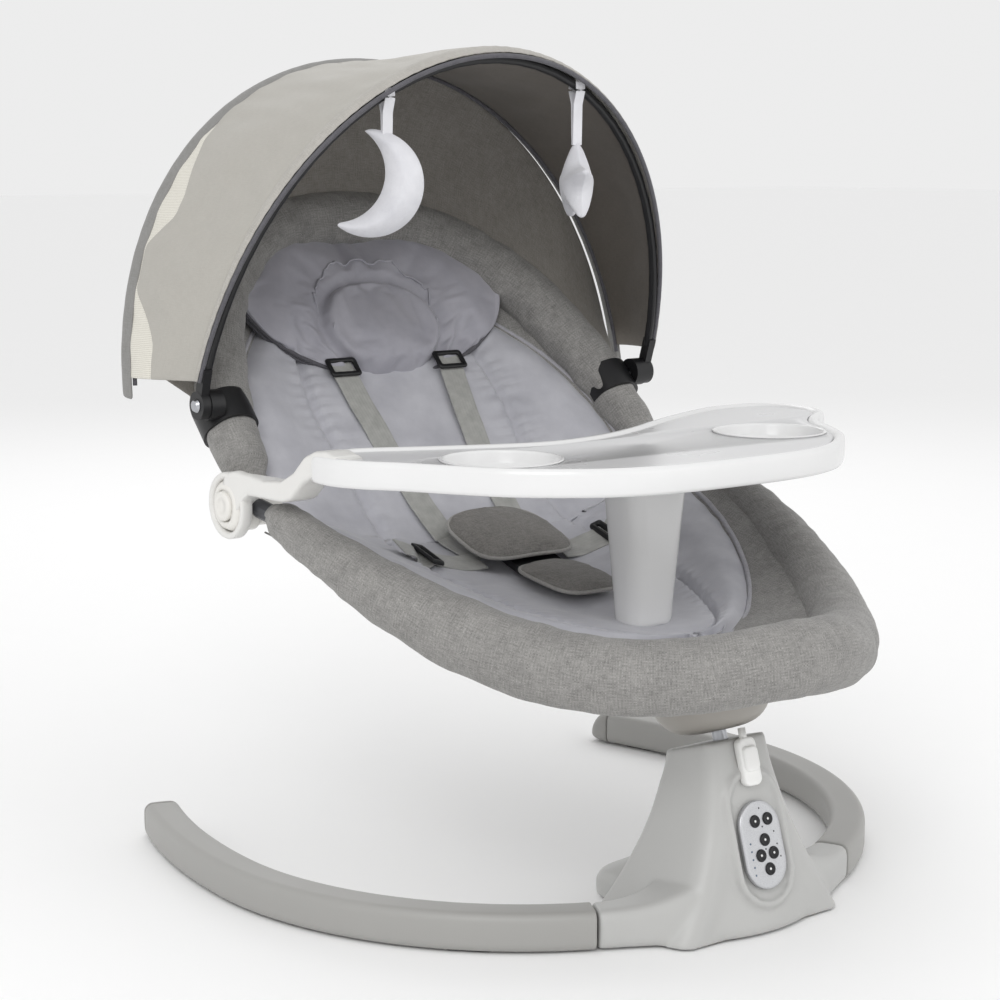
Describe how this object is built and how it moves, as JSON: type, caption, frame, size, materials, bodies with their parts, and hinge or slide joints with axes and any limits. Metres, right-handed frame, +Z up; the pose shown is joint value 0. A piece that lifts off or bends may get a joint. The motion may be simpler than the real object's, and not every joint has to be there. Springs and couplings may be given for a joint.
{
  "type": "baby swing",
  "caption": "Electric baby swing: curved floor base with a drive tower, reclining padded seat with harness, folding hood with hanging toys and a lift-up tray.",
  "frame": {"origin": "on the floor under the drive tower, at the underside of its foot pad", "axes": "+Z up, -Y towards the baby's feet and the control panel, +Y towards the head, +X to the baby's left"},
  "size_m": [0.612, 0.6963, 0.7055],
  "materials": {
    "housing_plastic": "moulded satin",
    "leg_plastic": "moulded fine texture",
    "cap_plastic": "moulded satin",
    "foot_rubber": "matt",
    "plate_plastic": "moulded matt",
    "screw_steel": "zinc plated",
    "bearing_steel": "ground",
    "coil_copper": "enamelled winding",
    "board_green": "solder mask",
    "inlet_black": "moulded matt",
    "bezel_silver": "silver lacquer",
    "led_lens": "clear lens",
    "button_black": "gloss",
    "slider_white": "semi gloss",
    "head_plastic": "moulded satin",
    "spindle_steel": "ground",
    "magnet_dark": "nickel",
    "cradle_steel": "powder coat",
    "tube_steel": "powder coat",
    "hub_white": "semi gloss",
    "disc_white": "semi gloss",
    "release_white": "semi gloss",
    "heather_fabric": "heather grey weave",
    "under_fabric": "heather grey weave",
    "liner_fabric": "soft brushed knit",
    "pillow_fabric": "soft brushed knit",
    "webbing_grey": "satin webbing",
    "slide_black": "satin",
    "pad_fabric": "heather grey weave",
    "clamp_black": "moulded satin",
    "rivet_steel": "polished",
    "hoop_band": "binding tape",
    "hood_fabric": "semi sheer weave",
    "panel_fabric": "heather grey weave",
    "bow_steel": "black coat",
    "hem_fabric": "bound hem",
    "plush_white": "plush",
    "tray_white": "gloss",
    "inset_grey": "gloss",
    "arm_white": "semi gloss",
    "post_white": "gloss"
  },
  "bodies": {
    "base": {"housing": "housing_plastic", "base_plate": "plate_plastic", "rubber_feet": "foot_rubber", "leg_left": "leg_plastic", "leg_right": "leg_plastic", "leg_caps": "cap_plastic", "base_screws": "screw_steel", "bearing_block": "plate_plastic", "spindle_bearings": "bearing_steel", "drive_coil": "coil_copper", "circuit_board": "board_green", "dc_inlet": "inlet_black", "panel_bezel": "bezel_silver", "panel_leds": "led_lens"},
    "power_key": {"button_power": "button_black"},
    "timer_key": {"button_timer": "button_black"},
    "music_key": {"button_music": "button_black"},
    "volume_key": {"button_volume": "button_black"},
    "slower_key": {"button_slower": "button_black"},
    "faster_key": {"button_faster": "button_black"},
    "lock": {"lock_slider": "slider_white"},
    "seat": {"swing_head": "head_plastic", "spindle": "spindle_steel", "drive_magnet": "magnet_dark", "seat_cradle": "cradle_steel", "front_tube": "tube_steel", "hub_housings": "hub_white", "hub_pins": "screw_steel", "front_rim_cover": "heather_fabric", "seat_sling": "heather_fabric", "under_cover": "under_fabric", "seat_liner": "liner_fabric", "waist_straps": "webbing_grey", "waist_slides": "slide_black", "harness_pads": "pad_fabric", "harness_buckle": "slide_black"},
    "backrest": {"back_tube": "tube_steel", "hub_discs": "disc_white", "back_rim_cover": "heather_fabric", "back_sling": "heather_fabric", "back_liner": "liner_fabric", "pillow": "pillow_fabric", "shoulder_straps": "webbing_grey", "strap_adjusters": "slide_black", "canopy_clamps": "clamp_black", "canopy_pins": "rivet_steel", "rear_hoop": "hoop_band", "hood_shell": "hood_fabric", "rear_panel": "panel_fabric"},
    "canopy": {"canopy_bow": "bow_steel", "bow_ends": "clamp_black", "hood_hem": "hem_fabric"},
    "moon": {"moon_toy": "plush_white"},
    "star": {"star_toy": "plush_white"},
    "left_release": {"release_left": "release_white"},
    "right_release": {"release_right": "release_white"},
    "tray": {"tray": "tray_white", "tray_inset": "inset_grey", "tray_arm": "arm_white", "tray_post": "post_white"}
  },
  "joints": [
    {"name": "swing", "type": "hinge", "parent": "base", "child": "seat", "pos_m": [0, -0.005, 0.146], "axis": [0, 0.342, 0.9397], "range_deg": [-15, 15]},
    {"name": "recline", "type": "hinge", "parent": "seat", "child": "backrest", "pos_m": [0, 0.327, 0.311], "axis": [1, 0, 0], "range_deg": [-25, 0]},
    {"name": "tray_lift", "type": "hinge", "parent": "seat", "child": "tray", "pos_m": [0, 0.327, 0.311], "axis": [-1, 0, 0], "range_deg": [0, 40]},
    {"name": "canopy_fold", "type": "hinge", "parent": "backrest", "child": "canopy", "pos_m": [0, 0.375, 0.39], "axis": [-1, 0, 0], "range_deg": [0, 32]},
    {"name": "moon_sway", "type": "hinge", "parent": "canopy", "child": "moon", "pos_m": [-0.11, 0.29323, 0.64933], "axis": [1, 0, 0], "range_deg": [-20, 20]},
    {"name": "star_sway", "type": "hinge", "parent": "canopy", "child": "star", "pos_m": [0.092, 0.29022, 0.65889], "axis": [1, 0, 0], "range_deg": [-20, 20]},
    {"name": "release_left_press", "type": "slide", "parent": "seat", "child": "left_release", "axis": [1, 0, 0], "range_m": [0, 0.003], "stiffness_N_per_m": 400},
    {"name": "release_right_press", "type": "slide", "parent": "seat", "child": "right_release", "axis": [-1, 0, 0], "range_m": [0, 0.003], "stiffness_N_per_m": 400},
    {"name": "swing_lock", "type": "slide", "parent": "base", "child": "lock", "axis": [0, 0.2974, 0.9548], "range_m": [-0.01, 0]},
    {"name": "power_press", "type": "slide", "parent": "base", "child": "power_key", "axis": [0, 0.9548, -0.2974], "range_m": [0, 0.0008], "stiffness_N_per_m": 500},
    {"name": "timer_press", "type": "slide", "parent": "base", "child": "timer_key", "axis": [0, 0.9548, -0.2974], "range_m": [0, 0.0008], "stiffness_N_per_m": 500},
    {"name": "music_press", "type": "slide", "parent": "base", "child": "music_key", "axis": [0, 0.9548, -0.2974], "range_m": [0, 0.0008], "stiffness_N_per_m": 500},
    {"name": "volume_press", "type": "slide", "parent": "base", "child": "volume_key", "axis": [0, 0.9548, -0.2974], "range_m": [0, 0.0008], "stiffness_N_per_m": 500},
    {"name": "slower_press", "type": "slide", "parent": "base", "child": "slower_key", "axis": [0, 0.9548, -0.2974], "range_m": [0, 0.0008], "stiffness_N_per_m": 500},
    {"name": "faster_press", "type": "slide", "parent": "base", "child": "faster_key", "axis": [0, 0.9548, -0.2974], "range_m": [0, 0.0008], "stiffness_N_per_m": 500}
  ]
}
